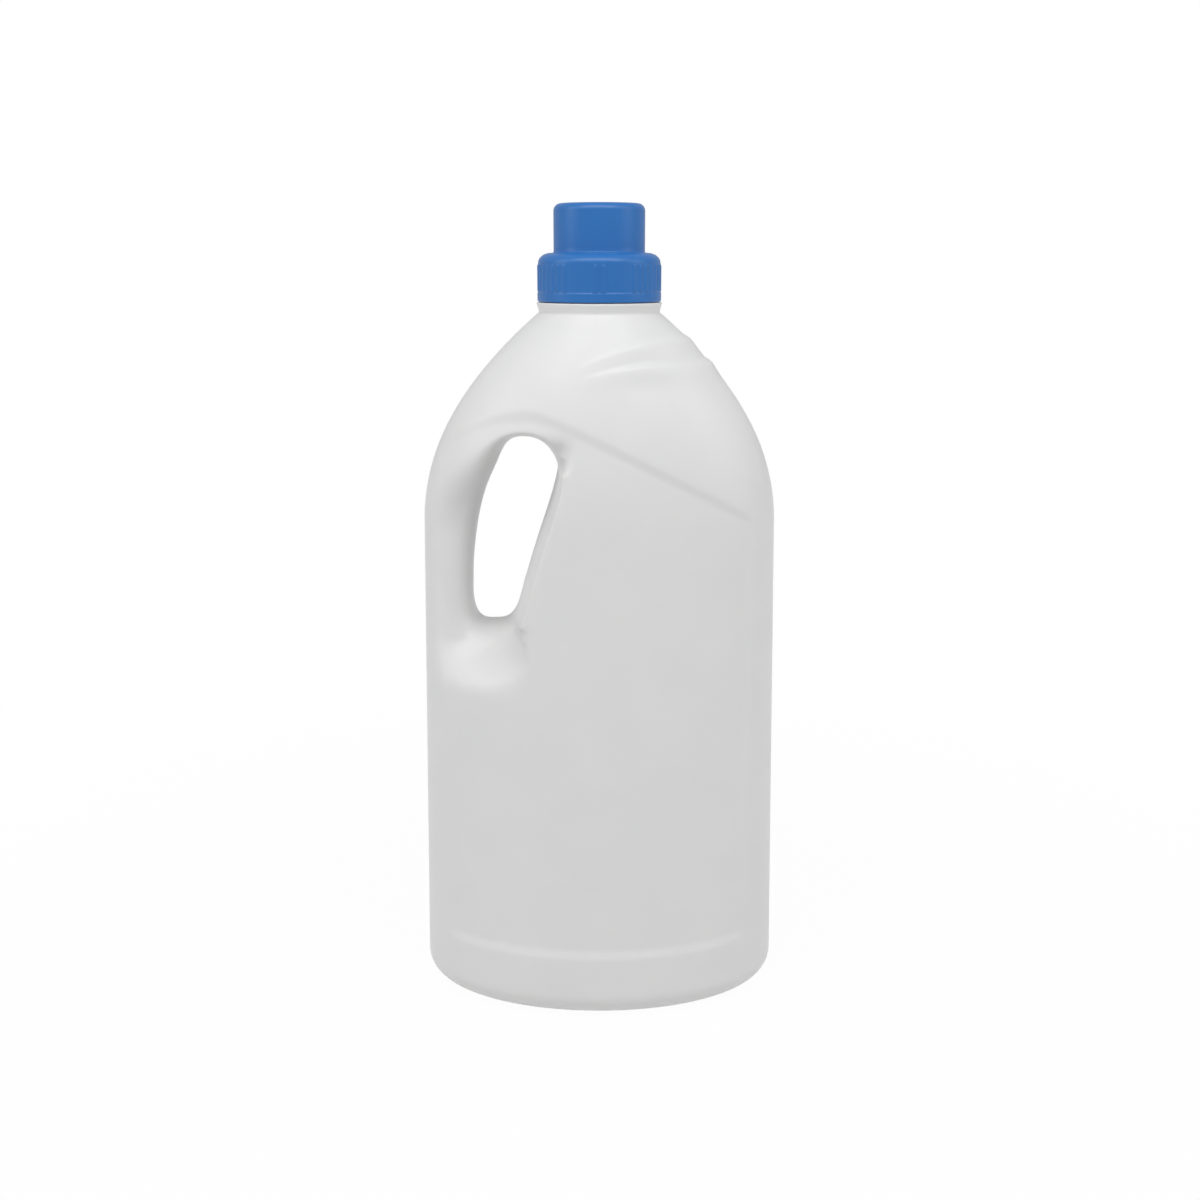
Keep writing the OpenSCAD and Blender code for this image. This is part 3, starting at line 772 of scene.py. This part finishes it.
def make_spout():
    plug_r = MOUTH_R - PLUG_GAP
    gutter_z = RIM_Z - GUTTER
    flange_top = SEAL_FOOT
    lip_top = RIM_Z + LIP_H
    profile = [(LIP_R - SPOUT_WALL, gutter_z + 1), (LIP_R, gutter_z + 1)]
    profile += [(plug_r - SPOUT_WALL, gutter_z), (plug_r, gutter_z + 0.2), (plug_r, RIM_Z)]
    profile += [(NECK_R - 0.1, RIM_Z), (NECK_R, RIM_Z + 0.1), (NECK_R, flange_top - 0.2)]
    profile += [(NECK_R - 0.2, flange_top), (plug_r - SPOUT_WALL + 0.3, flange_top)]
    profile += [(plug_r - SPOUT_WALL, flange_top - 0.3), (plug_r - SPOUT_WALL, gutter_z + SPOUT_WALL + 0.5)]
    profile += [(plug_r - SPOUT_WALL - 0.5, gutter_z + SPOUT_WALL)]
    profile += [(LIP_R + 0.5, gutter_z + 1 + SPOUT_WALL), (LIP_R, gutter_z + 1.5 + SPOUT_WALL)]
    profile += straight((LIP_R, gutter_z + 1.5 + SPOUT_WALL), (LIP_R, lip_top), 6)
    profile += [(LIP_R, lip_top - 0.1), (LIP_R - 0.1, lip_top), (LIP_R - SPOUT_WALL + 0.1, lip_top)]
    profile += [(LIP_R - SPOUT_WALL, lip_top - 0.1)]
    bm = spun(profile, 128, closed=True)
    slope = sin(LIP_SLANT) / cos(LIP_SLANT)
    low = gutter_z + 2 + SPOUT_WALL
    for v in bm.verts:
        r = hypot(v.co.x, v.co.y)
        if r < LIP_R + 0.05 and v.co.z > low:
            share = (v.co.z - low) / (lip_top - low)
            v.co.z -= share * slope * (LIP_R - v.co.x * LIP_R / r)
    bmesh.ops.recalc_face_normals(bm, faces=bm.faces)
    piece = smooth_piece("pouring_insert", bm)
    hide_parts("pouring_spout")
    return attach(piece, "bottle")


def make_seal():
    inner = CROWN_BORE + SEAL_GAP
    outer = CAP_BORE - SEAL_GAP
    soft = 0.15
    profile = [(inner + soft, SEAL_FOOT), (outer - soft, SEAL_FOOT), (outer, SEAL_FOOT + soft)]
    profile += [(outer, SEAL_TOP - soft), (outer - soft, SEAL_TOP), (inner + soft, SEAL_TOP)]
    profile += [(inner, SEAL_TOP - soft), (inner, SEAL_FOOT + soft)]
    bm = spun(profile, 128, closed=True)
    bmesh.ops.recalc_face_normals(bm, faces=bm.faces)
    piece = smooth_piece("foam_seal", bm)
    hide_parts("sealing_ring")
    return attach(piece, "seal")


class Shading:
    """A new material with its nodes, and short calls that add and join them."""

    def __init__(self, name, tree=None):
        if tree is None:
            self.material = bpy.data.materials.new(name)
            self.material.use_nodes = True
            tree = self.material.node_tree
            tree.nodes.clear()
        self.tree = tree

    def add(self, kind, **settings):
        node = self.tree.nodes.new(kind)
        for key, value in settings.items():
            setattr(node, key, value)
        return node

    def join(self, source, target):
        self.tree.links.new(source, target)


def moulded_surface():
    """Node group: the fine skin of moulded plastic, as a normal, a roughness and a tint."""
    group = bpy.data.node_groups.new("moulded_surface", "ShaderNodeTree")
    face = group.interface
    for name, value in (("Grain", 2500), ("Height", 0.000004), ("Wave", 60), ("Wave height", 0.00003)):
        socket = face.new_socket(name, in_out="INPUT", socket_type="NodeSocketFloat")
        socket.default_value = value
    for name, value in (("Rough low", 0.3), ("Rough high", 0.4)):
        socket = face.new_socket(name, in_out="INPUT", socket_type="NodeSocketFloat")
        socket.default_value = value
    for name in ("Dark", "Light"):
        face.new_socket(name, in_out="INPUT", socket_type="NodeSocketColor")
    face.new_socket("Colour", in_out="OUTPUT", socket_type="NodeSocketColor")
    face.new_socket("Roughness", in_out="OUTPUT", socket_type="NodeSocketFloat")
    face.new_socket("Normal", in_out="OUTPUT", socket_type="NodeSocketVector")
    s = Shading("", group)
    given = s.add("NodeGroupInput")
    result = s.add("NodeGroupOutput")
    place_in = s.add("ShaderNodeTexCoord").outputs["Object"]
    grain = s.add("ShaderNodeTexNoise")
    grain.inputs["Detail"].default_value = 3
    waves = s.add("ShaderNodeTexNoise")
    waves.inputs["Detail"].default_value = 1
    for noise, scale in ((grain, "Grain"), (waves, "Wave")):
        s.join(place_in, noise.inputs["Vector"])
        s.join(given.outputs[scale], noise.inputs["Scale"])
    fine = s.add("ShaderNodeBump")
    s.join(grain.outputs["Fac"], fine.inputs["Height"])
    s.join(given.outputs["Height"], fine.inputs["Distance"])
    broad = s.add("ShaderNodeBump")
    s.join(waves.outputs["Fac"], broad.inputs["Height"])
    s.join(given.outputs["Wave height"], broad.inputs["Distance"])
    s.join(broad.outputs["Normal"], fine.inputs["Normal"])
    rough = s.add("ShaderNodeMapRange")
    s.join(grain.outputs["Fac"], rough.inputs["Value"])
    s.join(given.outputs["Rough low"], rough.inputs["To Min"])
    s.join(given.outputs["Rough high"], rough.inputs["To Max"])
    tint = s.add("ShaderNodeMix", data_type="RGBA")
    s.join(waves.outputs["Fac"], tint.inputs["Factor"])
    s.join(given.outputs["Dark"], tint.inputs[6])
    s.join(given.outputs["Light"], tint.inputs[7])
    s.join(tint.outputs[2], result.inputs["Colour"])
    s.join(rough.outputs["Result"], result.inputs["Roughness"])
    s.join(fine.outputs["Normal"], result.inputs["Normal"])
    return group


def plastic(name, surface, values, dark, light, subsurface=0, radius=0.004):
    """A moulded plastic: the shared surface group in front of one Principled shader."""
    s = Shading(name)
    skin = s.add("ShaderNodeGroup", node_tree=surface)
    for key, value in values.items():
        skin.inputs[key].default_value = value
    skin.inputs["Dark"].default_value = (*dark, 1)
    skin.inputs["Light"].default_value = (*light, 1)
    shader = s.add("ShaderNodeBsdfPrincipled")
    shader.inputs["IOR"].default_value = 1.5
    shader.inputs["Subsurface Weight"].default_value = subsurface
    shader.inputs["Subsurface Radius"].default_value = (1, 1, 0.9)
    shader.inputs["Subsurface Scale"].default_value = radius
    s.join(skin.outputs["Colour"], shader.inputs["Base Color"])
    s.join(skin.outputs["Roughness"], shader.inputs["Roughness"])
    s.join(skin.outputs["Normal"], shader.inputs["Normal"])
    output = s.add("ShaderNodeOutputMaterial")
    s.join(shader.outputs["BSDF"], output.inputs["Surface"])
    return s.material


def dress(piece, material):
    piece.data.materials.clear()
    piece.data.materials.append(material)


def pale_stage(name, colour, shown, near, far):
    """A pale floor: the camera, gloss and glass see it nearly white, and quite white far out."""
    s = Shading(name)
    diffuse = s.add("ShaderNodeBsdfDiffuse")
    diffuse.inputs["Color"].default_value = (*colour, 1)
    glow = s.add("ShaderNodeEmission")
    glow.inputs["Strength"].default_value = 1
    path = s.add("ShaderNodeLightPath")
    seen = s.add("ShaderNodeMath", operation="ADD", use_clamp=True)
    s.join(path.outputs["Is Camera Ray"], seen.inputs[0])
    s.join(path.outputs["Is Glossy Ray"], seen.inputs[1])
    through = s.add("ShaderNodeMath", operation="ADD", use_clamp=True)
    s.join(seen.outputs[0], through.inputs[0])
    s.join(path.outputs["Is Transmission Ray"], through.inputs[1])
    spot = s.add("ShaderNodeTexCoord")
    away = s.add("ShaderNodeVectorMath", operation="LENGTH")
    s.join(spot.outputs["Object"], away.inputs[0])
    fade = s.add("ShaderNodeMapRange", interpolation_type="SMOOTHSTEP")
    fade.inputs["From Min"].default_value = near
    fade.inputs["From Max"].default_value = far
    fade.inputs["To Min"].default_value = shown
    s.join(away.outputs["Value"], fade.inputs["Value"])
    share = s.add("ShaderNodeMath", operation="MULTIPLY")
    s.join(fade.outputs["Result"], share.inputs[1])
    s.join(through.outputs[0], share.inputs[0])
    mix = s.add("ShaderNodeMixShader")
    s.join(share.outputs[0], mix.inputs[0])
    s.join(diffuse.outputs[0], mix.inputs[1])
    s.join(glow.outputs[0], mix.inputs[2])
    output = s.add("ShaderNodeOutputMaterial")
    s.join(mix.outputs[0], output.inputs["Surface"])
    return s.material


def make_floor():
    bm = bmesh.new()
    bmesh.ops.create_circle(bm, cap_ends=True, segments=96, radius=4)
    floor = smooth_piece("floor", bm, 1)
    dress(floor, pale_stage("pale_floor", (0.75, 0.75, 0.75), 0.97, 0.15, 0.5))


def white_world(ambient):
    """White behind the object, and a lower even light on it."""
    world = bpy.data.worlds.new("studio")
    bpy.context.scene.world = world
    world.use_nodes = True
    s = Shading("", world.node_tree)
    world.node_tree.nodes.clear()
    path = s.add("ShaderNodeLightPath")
    seen = s.add("ShaderNodeMath", operation="ADD", use_clamp=True)
    s.join(path.outputs["Is Camera Ray"], seen.inputs[0])
    s.join(path.outputs["Is Transmission Ray"], seen.inputs[1])
    level_in = s.add("ShaderNodeMapRange")
    level_in.inputs["To Min"].default_value = ambient
    level_in.inputs["To Max"].default_value = 1
    s.join(seen.outputs[0], level_in.inputs["Value"])
    back = s.add("ShaderNodeBackground")
    back.inputs["Color"].default_value = (1, 1, 1, 1)
    s.join(level_in.outputs["Result"], back.inputs["Strength"])
    output = s.add("ShaderNodeOutputWorld")
    s.join(back.outputs[0], output.inputs["Surface"])


def softbox(name, place_at, target, width, height, power):
    """A rectangular soft lamp that faces its target."""
    lamp = bpy.data.lights.new(name, "AREA")
    lamp.shape = "RECTANGLE"
    lamp.size = width
    lamp.size_y = height
    lamp.energy = power
    holder = bpy.data.objects.new(name, lamp)
    holder.location = place_at
    aim = Vector(target) - Vector(place_at)
    holder.rotation_euler = aim.to_track_quat("-Z", "Y").to_euler()
    bpy.context.scene.collection.objects.link(holder)


# The photograph's camera
IMAGE_W = 1200
FOCAL_PX = 1443.2
SENSOR = 36
CAMERA_AT = (0.25, -520, 272.13)
CAMERA_PITCH = 13.444


def make_camera():
    data = bpy.data.cameras.new("camera")
    data.sensor_width = SENSOR
    data.lens = FOCAL_PX / IMAGE_W * SENSOR
    data.clip_start = 0.01
    camera = bpy.data.objects.new("camera", data)
    camera.location = Vector(CAMERA_AT) * MM
    camera.rotation_euler = (radians(90 - CAMERA_PITCH), 0, 0)
    bpy.context.scene.collection.objects.link(camera)
    bpy.context.scene.camera = camera


make_camera()
bottle = make_bottle()
cap = make_cap()
spout = make_spout()
seal = make_seal()

surface = moulded_surface()
WHITE_SKIN = {"Grain": 2200, "Height": 0.00001, "Wave": 45, "Wave height": 0.00012,
              "Rough low": 0.32, "Rough high": 0.46}
BLUE_SKIN = {"Grain": 3000, "Height": 0.000006, "Wave": 90, "Wave height": 0.00002,
             "Rough low": 0.28, "Rough high": 0.38}
FOAM_SKIN = {"Grain": 1800, "Height": 0.00004, "Wave": 200, "Wave height": 0.00002,
             "Rough low": 0.75, "Rough high": 0.9}
WHITE = ((0.76, 0.765, 0.76), (0.8, 0.8, 0.79))
BLUE = ((0.016, 0.145, 0.45), (0.02, 0.16, 0.48))
NATURAL = ((0.78, 0.78, 0.76), (0.82, 0.82, 0.8))
FOAM = ((0.8, 0.78, 0.7), (0.85, 0.83, 0.76))
dress(bottle, plastic("white_polyethylene", surface, WHITE_SKIN, *WHITE, 0.25, 0.004))
dress(cap, plastic("blue_polypropylene", surface, BLUE_SKIN, *BLUE, 0.05, 0.001))
dress(spout, plastic("natural_white_insert", surface, BLUE_SKIN, *NATURAL, 0.2, 0.002))
dress(seal, plastic("foam", surface, FOAM_SKIN, *FOAM, 0.1, 0.001))

make_floor()
white_world(0.49)
softbox("top_front", (0, -0.5, 0.95), (0, 0, 0.15), 1.3, 0.45, 5.5)
softbox("left", (-0.8, -0.2, 0.6), (0, 0, 0.2), 0.4, 0.6, 1)
softbox("right", (0.8, -0.2, 0.6), (0, 0, 0.2), 0.4, 0.6, 0.8)

bpy.context.scene.view_settings.view_transform = "Standard"
